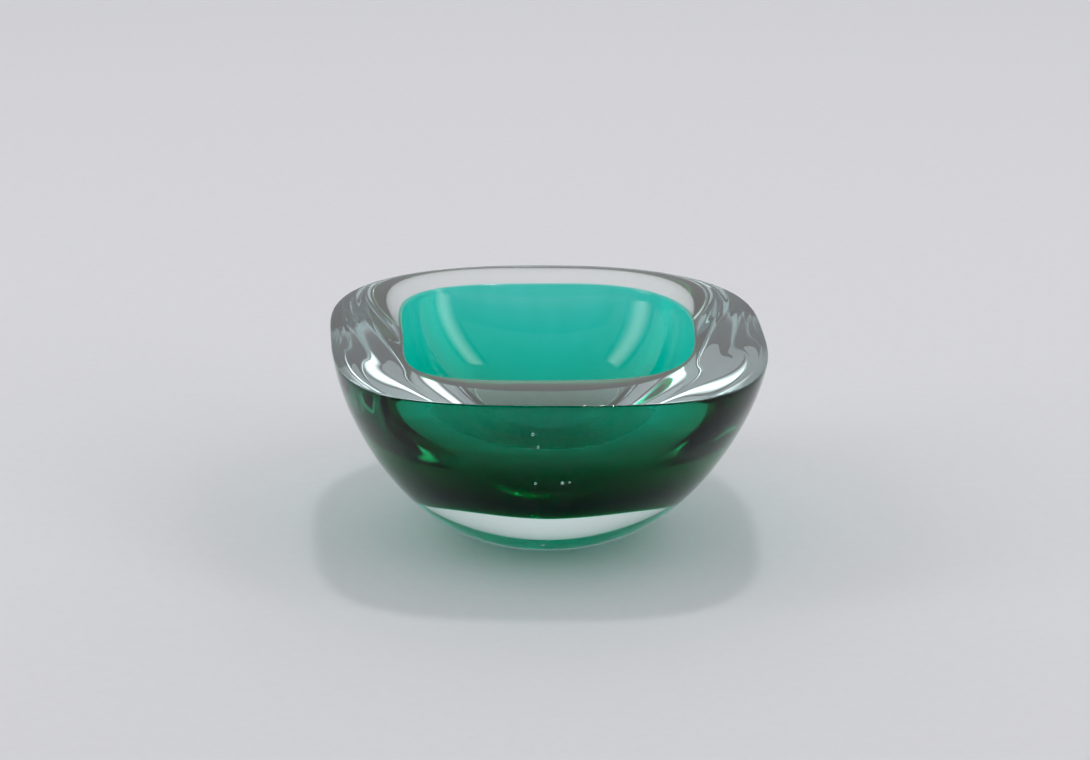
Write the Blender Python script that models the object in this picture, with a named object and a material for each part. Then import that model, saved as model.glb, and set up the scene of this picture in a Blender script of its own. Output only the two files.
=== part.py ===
"""A heavy cased art glass bowl: a green glass lining inside a thick colourless casing.

Lengths are in metres and +Z is up. The bowl stands on z = 0, and its outer box is centred on the Z axis.
Two closed bodies are made, one for each layer of glass.
"""

import math

import bpy

# The outer form: a rounded square at the rim that draws in to a small round foot.
HEIGHT = 0.0588
RIM_HALF_WIDTH = 0.0625
FOOT_HALF_WIDTH = 0.0210
SIDE_RISE = 1.4  # how early the side turns upright
SIDE_SPREAD = 1.7  # how fast the side leaves the foot
RIM_ROUND = 0.0005  # the radius that the rim's outer edge is polished to
FOOT_ARRIS = 0.00015  # the narrow chamfer round the foot

# The cavity and the green layer that lines it.
LIP_HALF_WIDTH = 0.0423
LIP_CENTRE = (0.0003, 0.0007)
LIP_ROUND = 0.0006  # the radius that the lip's edge is polished to
CAVITY_DEPTH = 0.0349
CAVITY_WALL = 1.9  # exponents of the cavity's side view: the wall, then the floor
CAVITY_FLOOR = 1.9
LAYER_WALL = 0.0011
LAYER_FLOOR = 0.0034
LAYER_GAP = 0.00036  # between the two bodies, where the real glasses are fused

# The hand-shaped plan. Squareness is a superellipse's exponent: 2 is a circle, and more is squarer. It leans with
# the cosine and the sine of the angle. Each waver is a harmonic, with its cosine and sine shares of the half width.
RIM_SQUARENESS = (2.91, -0.09, -0.48)
RIM_WAVER = ((2, -0.0097, -0.0174), (3, -0.0018, 0.0068))
LIP_SQUARENESS = (3.43, -0.78, -0.43)
LIP_WAVER = ((2, -0.0162, -0.0060), (3, 0.0019, 0.0112))
ROUND = 2.0

SEGMENTS = 72  # points round each ring
OUTER_ROWS = 15
INNER_ROWS = 13
EDGE_ROWS = 3  # steps over each rounded edge


def mix(low, high, share):
    return low + (high - low) * share


def plan_ring(half_width, z, share, squareness, waver):
    """One level ring of the bowl: round where share is 0, and the full hand-shaped square where it is 1."""
    ring = []
    for index in range(SEGMENTS):
        angle = 2 * math.pi * index / SEGMENTS
        cosine, sine = math.cos(angle), math.sin(angle)
        power = mix(ROUND, squareness[0] + squareness[1] * cosine + squareness[2] * sine, share)
        reach = half_width * (abs(cosine) ** power + abs(sine) ** power) ** (-1 / power)
        for turns, along, across in waver:
            reach *= 1 + share * (along * math.cos(turns * angle) + across * math.sin(turns * angle))
        ring.append((reach * cosine, reach * sine, z))
    return ring


def side_rows():
    """The rings of the outside, from the ground foot up to the cut rim."""
    rows = [plan_ring(FOOT_HALF_WIDTH - FOOT_ARRIS, 0, 0, RIM_SQUARENESS, RIM_WAVER)]
    for row in range(OUTER_ROWS + 1):
        share = 1 - math.cos(math.pi / 2 * row / OUTER_ROWS)
        rise = (1 - (1 - share) ** SIDE_RISE) ** (1 / SIDE_SPREAD)
        half_width = mix(FOOT_HALF_WIDTH, RIM_HALF_WIDTH, rise)
        z = mix(FOOT_ARRIS, HEIGHT - RIM_ROUND, share)
        rows.append(plan_ring(half_width, z, share, RIM_SQUARENESS, RIM_WAVER))
    for row in range(1, EDGE_ROWS + 1):
        turn = math.pi / 2 * row / EDGE_ROWS
        half_width = RIM_HALF_WIDTH - RIM_ROUND * (1 - math.cos(turn))
        z = HEIGHT - RIM_ROUND * (1 - math.sin(turn))
        rows.append(plan_ring(half_width, z, 1, RIM_SQUARENESS, RIM_WAVER))
    return rows


def hollow_rows(growth, deeper):
    """The rings of a bowl-shaped face round the cavity, from its lowest point up to the lip."""
    depth = CAVITY_DEPTH + deeper
    rows = [[(0, 0, HEIGHT - depth)]]
    for row in range(1, INNER_ROWS + 1):
        turn = math.pi / 2 * row / INNER_ROWS
        reach = (LIP_HALF_WIDTH + growth) * math.sin(turn) ** (2 / CAVITY_WALL)
        drop = math.cos(turn) ** (2 / CAVITY_FLOOR) if row < INNER_ROWS else 0
        rows.append(plan_ring(reach, HEIGHT - depth * drop, 1 - drop, LIP_SQUARENESS, LIP_WAVER))
    return rows


def cavity_rows():
    """The rings of the cavity's own face, from its floor up and over the rounded lip."""
    edge = HEIGHT - LIP_ROUND
    rows = [row for row in hollow_rows(0, 0) if row[0][2] < edge]
    for row in range(EDGE_ROWS + 1):
        turn = math.pi / 2 * row / EDGE_ROWS
        reach = LIP_HALF_WIDTH + LIP_ROUND * (1 - math.cos(turn))
        rows.append(plan_ring(reach, edge + LIP_ROUND * math.sin(turn), 1, LIP_SQUARENESS, LIP_WAVER))
    return rows


def moved(rows, by):
    return [[(x + by[0], y + by[1], z) for x, y, z in row] for row in rows]


def middle(ring):
    """The middle of a ring's box."""
    return [(min(values) + max(values)) / 2 for values in list(zip(*ring))[:2]]


def band(first, second):
    """The faces between two neighbouring rows, either of which may be a single point."""
    faces = []
    for here in range(SEGMENTS):
        after = (here + 1) % SEGMENTS
        if len(first) == 1:
            faces.append((first[0], second[after], second[here]))
        elif len(second) == 1:
            faces.append((first[here], first[after], second[0]))
        else:
            faces.append((first[here], first[after], second[after], second[here]))
    return faces


def add_body(name, rows, flat_bands, material):
    """One closed body lofted through the rows; flat_bands are the cut faces, by index of their first row."""
    points = [point for row in rows for point in row]
    numbered, start = [], 0
    for row in rows:
        numbered.append(list(range(start, start + len(row))))
        start += len(row)
    faces, flat = [], []
    if len(rows[0]) > 1:
        faces.append(tuple(reversed(numbered[0])))
        flat.append(True)
    for index, (first, second) in enumerate(zip(numbered, numbered[1:])):
        made = band(first, second)
        faces += made
        flat += [index in flat_bands] * len(made)
    mesh = bpy.data.meshes.new(name)
    mesh.from_pydata(points, [], faces)
    mesh.polygons.foreach_set("use_smooth", [not is_flat for is_flat in flat])
    mesh.materials.append(material)
    mesh.update()
    body = bpy.data.objects.new(name, mesh)
    bpy.context.collection.objects.link(body)


def glass(name, colour, roughness):
    material = bpy.data.materials.new(name)
    material.use_nodes = True
    shader = material.node_tree.nodes["Principled BSDF"]
    shader.inputs["Base Color"].default_value = (*colour, 1)
    shader.inputs["Roughness"].default_value = roughness
    shader.inputs["Metallic"].default_value = 0
    shader.inputs["Transmission Weight"].default_value = 1
    shader.inputs["IOR"].default_value = 1.5
    return material


def make_casing(centre):
    outside = side_rows()
    joint = moved(hollow_rows(LAYER_WALL + LAYER_GAP, LAYER_FLOOR + LAYER_GAP), LIP_CENTRE)
    rows = moved(outside + joint[::-1], centre)
    add_body("clear_casing", rows, {0, len(outside) - 1}, glass("clear_glass", (0.93, 0.97, 0.95), 0.02))


def make_layer(centre):
    joint = hollow_rows(LAYER_WALL, LAYER_FLOOR)
    rows = moved(moved(joint + cavity_rows()[::-1], LIP_CENTRE), centre)
    add_body("emerald_layer", rows, {len(joint) - 1}, glass("emerald_glass", (0.0, 0.52, 0.37), 0.03))


def main():
    for old in list(bpy.data.objects):
        bpy.data.objects.remove(old, do_unlink=True)
    rim = plan_ring(RIM_HALF_WIDTH, HEIGHT, 1, RIM_SQUARENESS, RIM_WAVER)
    x, y = middle(rim)
    make_casing((-x, -y))
    make_layer((-x, -y))


main()
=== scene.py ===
"""The looks of the cased art glass bowl: clear casing, emerald layer, pale floor and soft studio light.

Lengths are in metres. The bowl's size and place come from the frame, and its exponents, shares and glass
thicknesses are those of the CAD.
"""

import math

import bmesh
import bpy
from mathutils import Matrix, Vector


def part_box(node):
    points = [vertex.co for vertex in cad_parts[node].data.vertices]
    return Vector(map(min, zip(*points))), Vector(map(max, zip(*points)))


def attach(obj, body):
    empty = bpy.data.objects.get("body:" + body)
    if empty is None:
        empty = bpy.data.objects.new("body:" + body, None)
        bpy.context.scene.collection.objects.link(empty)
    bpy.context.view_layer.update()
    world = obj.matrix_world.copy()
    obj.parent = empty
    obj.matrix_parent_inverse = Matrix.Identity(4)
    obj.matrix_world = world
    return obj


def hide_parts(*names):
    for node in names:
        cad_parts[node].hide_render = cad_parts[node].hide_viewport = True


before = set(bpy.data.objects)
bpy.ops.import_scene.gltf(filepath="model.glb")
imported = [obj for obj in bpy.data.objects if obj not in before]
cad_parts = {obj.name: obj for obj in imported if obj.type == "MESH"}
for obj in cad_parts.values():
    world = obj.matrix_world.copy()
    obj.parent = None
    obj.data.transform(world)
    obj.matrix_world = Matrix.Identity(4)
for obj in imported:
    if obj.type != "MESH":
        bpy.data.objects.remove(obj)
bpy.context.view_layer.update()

# The outer form: a rounded square at the rim that draws in to a small round foot.
FOOT_SHARE = 0.336  # the foot's width as a share of the rim's
SIDE_RISE = 1.4  # how early the side turns upright
SIDE_SPREAD = 1.7  # how fast the side leaves the foot
RIM_ROUND = 0.0005  # the radius that the rim's outer edge is polished to
FOOT_ARRIS = 0.00015  # the narrow chamfer round the foot

# The cavity and the green layer that lines it.
LIP_ROUND = 0.0006  # the radius that the lip's edge is polished to
CAVITY_WALL = 1.9  # exponents of the cavity's side view: the wall, then the floor
CAVITY_FLOOR = 1.9
LAYER_WALL = 0.0011
LAYER_FLOOR = 0.0034
SKIN = 0.00004  # the colour starts this far under the polished skin

# The hand-shaped plan. Squareness is a superellipse's exponent: 2 is a circle, and more is squarer. It leans
# with the cosine and the sine of the angle. Each waver is a harmonic, with its cosine and sine shares of the
# half width.
RIM_SQUARENESS = (2.91, -0.09, -0.48)
RIM_WAVER = ((2, -0.0097, -0.0174), (3, -0.0018, 0.0068))
LIP_SQUARENESS = (3.43, -0.78, -0.43)
LIP_WAVER = ((2, -0.0162, -0.0060), (3, 0.0019, 0.0112))
ROUND = 2.0

SEGMENTS = 288  # points round each ring
OUTER_ROWS = 72
INNER_ROWS = 64
EDGE_ROWS = 8  # steps over each rounded edge
CUT_ANGLE = math.radians(20)  # edges sharper than this stay sharp

# Air bubbles in the clear glass: each one's middle and radius.
SEEDS = (
    (-0.0052, -0.0580, 0.0496, 0.00055),
    (-0.0037, -0.0568, 0.0455, 0.00045),
    (0.0030, -0.0503, 0.0332, 0.00055),
    (0.0050, -0.0503, 0.0334, 0.00040),
    (-0.0043, -0.0501, 0.0330, 0.00045),
    (-0.0018, -0.0330, 0.0070, 0.00055),
)
SEED_STEPS = 3  # how often a bubble's faces are divided

BLACK = (0, 0, 0)
WHITE = (1, 1, 1)

# The glasses. On its way through one, light fades at a rate of density * (1 - colour) per metre.
CLEAR_IOR = 1.5
CLEAR_COLOUR = (0.0, 0.3, 0.3)  # a trace of green
CLEAR_DENSITY = 4.0
LAYER_IOR = 1.0  # against the casing: the two are fused, so light goes straight on where they meet
EMERALD_COLOUR = (0.0, 0.892, 0.82)
EMERALD_DENSITY = 1950.0
CORD_SCALE = 120.0  # faint cords in the green, drawn out along Z
CORD_STRETCH = (1, 1, 0.35)
CORD_RANGE = (0.35, 0.65)
CORD_TINT = (0.9, 0.97, 0.94)
WAVE_SCALE = 55.0  # the slight waviness of the polished skin
WAVE_STRETCH = (1, 1, 0.6)
WAVE_HEIGHT = 0.00003
GROUND_SCALE = 4000.0  # the grain of the ground foot
GROUND_ROUGHNESS = 0.4

# The table under the bowl: a fine mottle, and painted light: the floor is painted a little paler towards the
# back, as if more light fell there.
FLOOR_REACH = 4.0
FLOOR_DROP = 0.0001  # how far the floor is under the foot, so that the two faces stay apart
FLOOR_SCALE = 300.0
FLOOR_MOTTLE = (0.40, 0.60)
FLOOR_PAINTED_LIGHT_RISE = 0.3  # painted light: how much paler the floor is painted in each metre towards the back
FLOOR_DARK = (0.655, 0.655, 0.68)
FLOOR_LIGHT = (0.855, 0.855, 0.87)
FLOOR_ROUGHNESS = 0.9

# The studio: a room that is darker in front, a small light overhead, a tall soft strip on each side, and a
# flag in front, which is pale at its foot and dark above.
ROOM_FRONT = (0.25, 0.25, 0.26)
ROOM_BACK = (0.90, 0.90, 0.92)
BACKDROP_LOW = (0.42, 0.42, 0.44)
BACKDROP_HIGH = (0.64, 0.64, 0.66)
BACKDROP_RISE = 0.25
KEY_PLACE = Vector((0.11, 0.17, 1.7))
KEY_SIZE = 0.14
KEY_POWER = 3.6
STRIPS = (
    ("right_strip", Vector((1.0, -0.80, 0.12)), Vector((1.0, 0.08, 1.90))),
    ("left_strip", Vector((-1.0, -0.30, 0.12)), Vector((-1.0, 0.07, 1.53))),
)
STRIP_WIDTH = 0.68
STRIP_GLOW = 3.5
FLAG_AWAY = 1.6
FLAG_REACH = 1.5
FLAG_HEIGHT = 1.6
FLAG_FADE = 0.7  # the height where it is dark
FLAG_PALE = (0.8, 0.8, 0.8)
FLAG_DARK = (0.02, 0.02, 0.02)

# The camera and the picture.
TARGET = Vector((-0.0003, 0, 0.0438))
DISTANCE = 0.853
AZIMUTH = math.radians(-1.6)
ELEVATION = math.radians(19.55)
LENS = 97.8  # the focal length, and then the sensor's width, in millimetres
SENSOR = 36
BLACK_LEVEL = 0.017  # the brightness that the picture shows as black
GLASS_BOUNCES = 32
GLOSSY_BOUNCES = 16
DIFFUSE_BOUNCES = 4


def mix(low, high, share):
    """The value at a share of the way from low to high."""
    return low + (high - low) * share


def plan_ring(half_width, z, share, squareness, waver):
    """One level ring of the bowl: round where share is 0, and the full hand-shaped square where it is 1."""
    ring = []
    for index in range(SEGMENTS):
        angle = 2 * math.pi * index / SEGMENTS
        cosine, sine = math.cos(angle), math.sin(angle)
        power = mix(ROUND, squareness[0] + squareness[1] * cosine + squareness[2] * sine, share)
        reach = half_width * (abs(cosine) ** power + abs(sine) ** power) ** (-1 / power)
        for turns, along, across in waver:
            reach *= 1 + share * (along * math.cos(turns * angle) + across * math.sin(turns * angle))
        ring.append((reach * cosine, reach * sine, z))
    return ring


def fitted(squareness, waver, low, high):
    """The half width and the centre that a full ring of this plan needs to fill a box."""
    ring = plan_ring(1, 0, 1, squareness, waver)
    left, right = min(point[0] for point in ring), max(point[0] for point in ring)
    front = min(point[1] for point in ring)
    half_width = (high.x - low.x) / (right - left)
    return half_width, (low.x - left * half_width, low.y - front * half_width)


def side_rows(half_width, top):
    """The rings of the outside, from the ground foot up to the cut rim."""
    foot = FOOT_SHARE * half_width
    rows = [plan_ring(foot - FOOT_ARRIS, 0, 0, RIM_SQUARENESS, RIM_WAVER)]
    for row in range(OUTER_ROWS + 1):
        share = 1 - math.cos(math.pi / 2 * row / OUTER_ROWS)
        rise = (1 - (1 - share) ** SIDE_RISE) ** (1 / SIDE_SPREAD)
        z = mix(FOOT_ARRIS, top - RIM_ROUND, share)
        rows.append(plan_ring(mix(foot, half_width, rise), z, share, RIM_SQUARENESS, RIM_WAVER))
    for row in range(1, EDGE_ROWS + 1):
        turn = math.pi / 2 * row / EDGE_ROWS
        reach = half_width - RIM_ROUND * (1 - math.cos(turn))
        z = top - RIM_ROUND * (1 - math.sin(turn))
        rows.append(plan_ring(reach, z, 1, RIM_SQUARENESS, RIM_WAVER))
    return rows


def hollow_rows(half_width, depth, top):
    """The rings of a bowl-shaped face round the cavity, from its lowest point up to the lip."""
    rows = [[(0, 0, top - depth)]]
    for row in range(1, INNER_ROWS + 1):
        turn = math.pi / 2 * row / INNER_ROWS
        reach = half_width * math.sin(turn) ** (2 / CAVITY_WALL)
        drop = math.cos(turn) ** (2 / CAVITY_FLOOR) if row < INNER_ROWS else 0
        rows.append(plan_ring(reach, top - depth * drop, 1 - drop, LIP_SQUARENESS, LIP_WAVER))
    return rows


def cavity_rows(half_width, depth, top):
    """The rings of the cavity's own face, from the rounded lip at the rim down to the floor."""
    edge = top - LIP_ROUND
    rows = [row for row in hollow_rows(half_width, depth, top) if row[0][2] < edge]
    for row in range(EDGE_ROWS + 1):
        turn = math.pi / 2 * row / EDGE_ROWS
        reach = half_width + LIP_ROUND * (1 - math.cos(turn))
        rows.append(plan_ring(reach, edge + LIP_ROUND * math.sin(turn), 1, LIP_SQUARENESS, LIP_WAVER))
    return rows[::-1]


def moved(rows, by):
    """The rows, shifted level by an offset in X and Y."""
    return [[(x + by[0], y + by[1], z) for x, y, z in row] for row in rows]


def band(first, second):
    """The faces between two neighbouring rows, either of which may be a single point."""
    faces = []
    for here in range(SEGMENTS):
        after = (here + 1) % SEGMENTS
        if len(first) == 1:
            faces.append((first[0], second[after], second[here]))
        elif len(second) == 1:
            faces.append((first[here], first[after], second[0]))
        else:
            faces.append((first[here], first[after], second[after], second[here]))
    return faces


def add_body(name, rows, material):
    """One closed body lofted through the rows, smooth all over but for its cut edges."""
    points = [point for row in rows for point in row]
    numbered, start = [], 0
    for row in rows:
        numbered.append(list(range(start, start + len(row))))
        start += len(row)
    faces = [tuple(reversed(numbered[0]))] if len(rows[0]) > 1 else []
    for first, second in zip(numbered, numbered[1:]):
        faces += band(first, second)
    mesh = bpy.data.meshes.new(name)
    mesh.from_pydata(points, [], faces)
    mesh.polygons.foreach_set("use_smooth", [True] * len(faces))
    mesh.set_sharp_from_angle(angle=CUT_ANGLE)
    mesh.materials.append(material)
    mesh.update()
    body = bpy.data.objects.new(name, mesh)
    bpy.context.scene.collection.objects.link(body)
    return body


def add_seeds(body):
    """Small round bubbles of air in the body's glass: their faces look inwards."""
    shape = bmesh.new()
    shape.from_mesh(body.data)
    for x, y, z, radius in SEEDS:
        place = Matrix.Translation((x, y, z))
        made = bmesh.ops.create_icosphere(shape, subdivisions=SEED_STEPS, radius=radius, matrix=place)
        faces = list({face for corner in made["verts"] for face in corner.link_faces})
        for face in faces:
            face.smooth = True
        bmesh.ops.reverse_faces(shape, faces=faces)
    shape.to_mesh(body.data)
    shape.free()


def new_material(name):
    """A node material and its Principled shader."""
    material = bpy.data.materials.new(name)
    material.use_nodes = True
    return material, material.node_tree.nodes["Principled BSDF"]


def add_node(owner, kind, **values):
    """A new node in a material or the world, with values for its sockets by name (spaces as underscores)."""
    node = owner.node_tree.nodes.new(kind)
    for name, value in values.items():
        node.inputs[name.replace("_", " ")].default_value = value
    return node


def link(owner, source, target):
    """Join one node's output to another node's input."""
    owner.node_tree.links.new(source, target)


def add_ramp(owner, source, *stops):
    """A colour ramp through its stops, each a position and a colour, driven by a socket."""
    node = add_node(owner, "ShaderNodeValToRGB")
    elements = node.color_ramp.elements
    for index, (position, colour) in enumerate(stops):
        stop = elements[index] if index < len(elements) else elements.new(position)
        stop.position = position
        stop.color = (*colour, 1)
    link(owner, source, node.inputs["Fac"])
    return node


def place_on(material, stretch=(1, 1, 1)):
    """The spot on the piece in metres, with each axis stretched."""
    spot = add_node(material, "ShaderNodeTexCoord")
    scaled = add_node(material, "ShaderNodeMapping", Scale=stretch)
    link(material, spot.outputs["Object"], scaled.inputs["Vector"])
    return scaled.outputs["Vector"]


def place_along(material, axis):
    """How far along one axis the spot on the piece is, in metres."""
    split = add_node(material, "ShaderNodeSeparateXYZ")
    link(material, place_on(material), split.inputs["Vector"])
    return split.outputs[axis]


def add_noise(material, stretch=(1, 1, 1), **values):
    """Noise on the piece, from 0 to 1."""
    noise = add_node(material, "ShaderNodeTexNoise", **values)
    link(material, place_on(material, stretch), noise.inputs["Vector"])
    return noise.outputs["Fac"]


def glass(name, ior, colour, density):
    """A Principled glass that takes up light inside it, and which its own nodes then vary."""
    material, shader = new_material(name)
    shader.inputs["Base Color"].default_value = (*WHITE, 1)
    shader.inputs["Roughness"].default_value = 0
    shader.inputs["Transmission Weight"].default_value = 1
    shader.inputs["IOR"].default_value = ior
    absorb = add_node(material, "ShaderNodeVolumeAbsorption", Color=(*colour, 1), Density=density)
    link(material, absorb.outputs["Volume"], material.node_tree.nodes["Material Output"].inputs["Volume"])
    return material, shader


def clear_glass():
    """Polished colourless glass: a slight hand-made waviness, and a finely ground foot."""
    material, shader = glass("clear_glass", CLEAR_IOR, CLEAR_COLOUR, CLEAR_DENSITY)
    waves = add_noise(material, WAVE_STRETCH, Scale=WAVE_SCALE, Detail=1.0, Roughness=0.4)
    bump = add_node(material, "ShaderNodeBump", Strength=1.0, Distance=WAVE_HEIGHT)
    link(material, waves, bump.inputs["Height"])
    link(material, bump.outputs["Normal"], shader.inputs["Normal"])
    ground = add_node(
        material,
        "ShaderNodeMapRange",
        From_Min=FOOT_ARRIS / 3,
        From_Max=FOOT_ARRIS,
        To_Min=GROUND_ROUGHNESS,
        To_Max=0,
    )
    link(material, place_along(material, "Z"), ground.inputs["Value"])
    rough = add_node(material, "ShaderNodeMath")
    rough.operation = "MULTIPLY"
    link(material, ground.outputs["Result"], rough.inputs[0])
    link(material, add_noise(material, Scale=GROUND_SCALE, Detail=2.0), rough.inputs[1])
    link(material, rough.outputs["Value"], shader.inputs["Roughness"])
    return material


def emerald_glass():
    """The coloured glass, which meets the casing without a skin of its own and carries faint cords."""
    material, shader = glass("emerald_glass", LAYER_IOR, EMERALD_COLOUR, EMERALD_DENSITY)
    cords = add_noise(material, CORD_STRETCH, Scale=CORD_SCALE, Detail=3.0, Roughness=0.6)
    tint = add_ramp(material, cords, (CORD_RANGE[0], CORD_TINT), (CORD_RANGE[1], WHITE))
    link(material, tint.outputs["Color"], shader.inputs["Base Color"])
    return material


def make_bowl():
    """The two glasses, sized to the CAD nodes that they stand for."""
    low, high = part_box("clear_casing")
    layer_low, layer_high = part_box("emerald_layer")
    top = high.z
    rim, rim_centre = fitted(RIM_SQUARENESS, RIM_WAVER, low, high)
    joint, lip_centre = fitted(LIP_SQUARENESS, LIP_WAVER, layer_low, layer_high)
    lip = joint - LAYER_WALL
    depth = top - layer_low.z - LAYER_FLOOR

    outside = moved(side_rows(rim, top), rim_centre)
    cavity = moved(cavity_rows(lip, depth, top), lip_centre)
    casing = add_body("casing_glass", outside + cavity, clear_glass())
    add_seeds(casing)

    underside = moved(hollow_rows(joint, depth + LAYER_FLOOR - SKIN, top - SKIN), lip_centre)
    lining = moved(cavity_rows(lip + SKIN, depth, top - SKIN), lip_centre)
    layer = add_body("emerald_glass", underside + lining, emerald_glass())

    for piece, node, slot in (
        (casing, "clear_casing", "clear_glass"),
        (layer, "emerald_layer", "emerald_glass"),
    ):
        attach(piece, "root")
        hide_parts(node)


def add_sheet(name, corners, material):
    """A flat sheet between four corners, which belongs to the studio and not to the bowl."""
    mesh = bpy.data.meshes.new(name)
    mesh.from_pydata(corners, [], [(0, 1, 2, 3)])
    mesh.materials.append(material)
    sheet = bpy.data.objects.new(name, mesh)
    bpy.context.scene.collection.objects.link(sheet)
    return sheet


def pale_surface():
    """Matt and pale, with a fine mottle, and painted light: the tone grows paler towards the back."""
    material, shader = new_material("pale_floor")
    shader.inputs["Roughness"].default_value = FLOOR_ROUGHNESS
    shader.inputs["Specular IOR Level"].default_value = 0
    grain = add_noise(material, Scale=FLOOR_SCALE, Detail=4.0, Roughness=0.6)
    mottle = add_node(material, "ShaderNodeMapRange", To_Min=FLOOR_MOTTLE[0], To_Max=FLOOR_MOTTLE[1])
    link(material, grain, mottle.inputs["Value"])
    # painted light: the tone is painted paler towards the back, on top of the mottle
    mottle_and_painted_light = add_node(material, "ShaderNodeMath")
    mottle_and_painted_light.operation = "MULTIPLY_ADD"
    mottle_and_painted_light.inputs[1].default_value = FLOOR_PAINTED_LIGHT_RISE
    link(material, place_along(material, "Y"), mottle_and_painted_light.inputs[0])
    link(material, mottle.outputs["Result"], mottle_and_painted_light.inputs[2])
    tone = add_ramp(material, mottle_and_painted_light.outputs["Value"], (0, FLOOR_DARK), (1, FLOOR_LIGHT))
    link(material, tone.outputs["Color"], shader.inputs["Base Color"])
    return material


def make_floor():
    """The pale table top under the bowl."""
    corners = [(x * FLOOR_REACH, y * FLOOR_REACH, 0) for x, y in ((-1, -1), (1, -1), (1, 1), (-1, 1))]
    floor = add_sheet("floor", corners, pale_surface())
    floor.location.z = -FLOOR_DROP


def make_room():
    """The light all round, darker in front, and a plain backdrop where the camera sees past the floor."""
    world = bpy.data.worlds.new("studio")
    world.use_nodes = True
    spot = add_node(world, "ShaderNodeTexCoord")
    split = add_node(world, "ShaderNodeSeparateXYZ")
    link(world, spot.outputs["Generated"], split.inputs["Vector"])
    across = add_node(world, "ShaderNodeMapRange", From_Min=-1, From_Max=1)
    link(world, split.outputs["Y"], across.inputs["Value"])
    room = add_ramp(world, across.outputs["Result"], (0, ROOM_FRONT), (1, ROOM_BACK))
    backdrop = add_ramp(world, split.outputs["Z"], (0, BACKDROP_LOW), (BACKDROP_RISE, BACKDROP_HIGH))
    seen = add_node(world, "ShaderNodeLightPath")
    mixed = add_node(world, "ShaderNodeMix")
    mixed.data_type = "RGBA"
    colours = [socket for socket in mixed.inputs if socket.type == "RGBA"]
    result = next(socket for socket in mixed.outputs if socket.type == "RGBA")
    link(world, seen.outputs["Is Camera Ray"], mixed.inputs["Factor"])
    link(world, room.outputs["Color"], colours[0])
    link(world, backdrop.outputs["Color"], colours[1])
    link(world, result, world.node_tree.nodes["Background"].inputs["Color"])
    bpy.context.scene.world = world


def add_aimed(name, data, place, target):
    """A new light or camera that looks from its place at its target."""
    made = bpy.data.objects.new(name, data)
    made.location = place
    made.rotation_euler = (target - place).to_track_quat("-Z", "Y").to_euler()
    bpy.context.scene.collection.objects.link(made)
    return made


def make_key():
    """The small light overhead that casts the bowl's shadow."""
    data = bpy.data.lights.new("key", "AREA")
    data.size = KEY_SIZE
    data.energy = KEY_POWER
    add_aimed("key", data, KEY_PLACE, Vector((0, 0, 0)))


def strip_glow(name):
    """A glow that fades out towards both long edges of its sheet."""
    material, shader = new_material(name)
    material.node_tree.nodes.remove(shader)
    spot = add_node(material, "ShaderNodeTexCoord")
    split = add_node(material, "ShaderNodeSeparateXYZ")
    link(material, spot.outputs["UV"], split.inputs["Vector"])
    fade = add_ramp(material, split.outputs["X"], (0, BLACK), (0.5, WHITE), (1, BLACK))
    fade.color_ramp.interpolation = "EASE"
    glow = add_node(material, "ShaderNodeEmission", Strength=STRIP_GLOW)
    link(material, fade.outputs["Color"], glow.inputs["Color"])
    link(material, glow.outputs["Emission"], material.node_tree.nodes["Material Output"].inputs["Surface"])
    return material


def add_strip(name, low, high):
    """A tall glowing sheet with soft edges, turned towards the bowl and unseen by the camera."""
    middle = (low + high) / 2
    along = (high - low).normalized()
    across = along.cross(middle.normalized()).normalized() * STRIP_WIDTH / 2
    corners = [low - across, low + across, high + across, high - across]
    sheet = add_sheet(name, corners, strip_glow(name))
    for corner, spot in zip(sheet.data.uv_layers.new().data, ((0, 0), (1, 0), (1, 1), (0, 1))):
        corner.uv = spot
    sheet.visible_camera = False


def make_flag():
    """A cloth across the front that keeps light off the bowl's near side, unseen by the camera."""
    material, shader = new_material("flag_cloth")
    tone = add_ramp(material, place_along(material, "Z"), (0, FLAG_PALE), (FLAG_FADE, FLAG_DARK))
    tone.color_ramp.interpolation = "EASE"
    link(material, tone.outputs["Color"], shader.inputs["Base Color"])
    ends = ((-1, 0), (1, 0), (1, FLAG_HEIGHT), (-1, FLAG_HEIGHT))
    flag = add_sheet("flag", [(side * FLAG_REACH, -FLAG_AWAY, z) for side, z in ends], material)
    flag.visible_camera = False


def make_light():
    """All the light of the studio."""
    make_room()
    make_key()
    for name, low, high in STRIPS:
        add_strip(name, low, high)
    make_flag()


def make_camera():
    """A camera a little left of the front, which looks down into the bowl."""
    data = bpy.data.cameras.new("camera")
    data.lens = LENS
    data.sensor_width = SENSOR
    level = DISTANCE * math.cos(ELEVATION)
    away = Vector((math.sin(AZIMUTH) * level, -math.cos(AZIMUTH) * level, DISTANCE * math.sin(ELEVATION)))
    bpy.context.scene.camera = add_aimed("camera", data, TARGET + away, TARGET)


def set_picture():
    """Plain colours with a deep black, and enough bounces for light to pass through thick glass."""
    view, cycles = bpy.context.scene.view_settings, bpy.context.scene.cycles
    view.view_transform = "Standard"
    view.use_curve_mapping = True
    view.curve_mapping.black_level = (BLACK_LEVEL, BLACK_LEVEL, BLACK_LEVEL)
    view.curve_mapping.update()
    cycles.use_denoising = True
    cycles.max_bounces = GLASS_BOUNCES
    cycles.transmission_bounces = GLASS_BOUNCES
    cycles.transparent_max_bounces = GLASS_BOUNCES
    cycles.glossy_bounces = GLOSSY_BOUNCES
    cycles.diffuse_bounces = DIFFUSE_BOUNCES


make_bowl()
make_floor()
make_light()
make_camera()
set_picture()
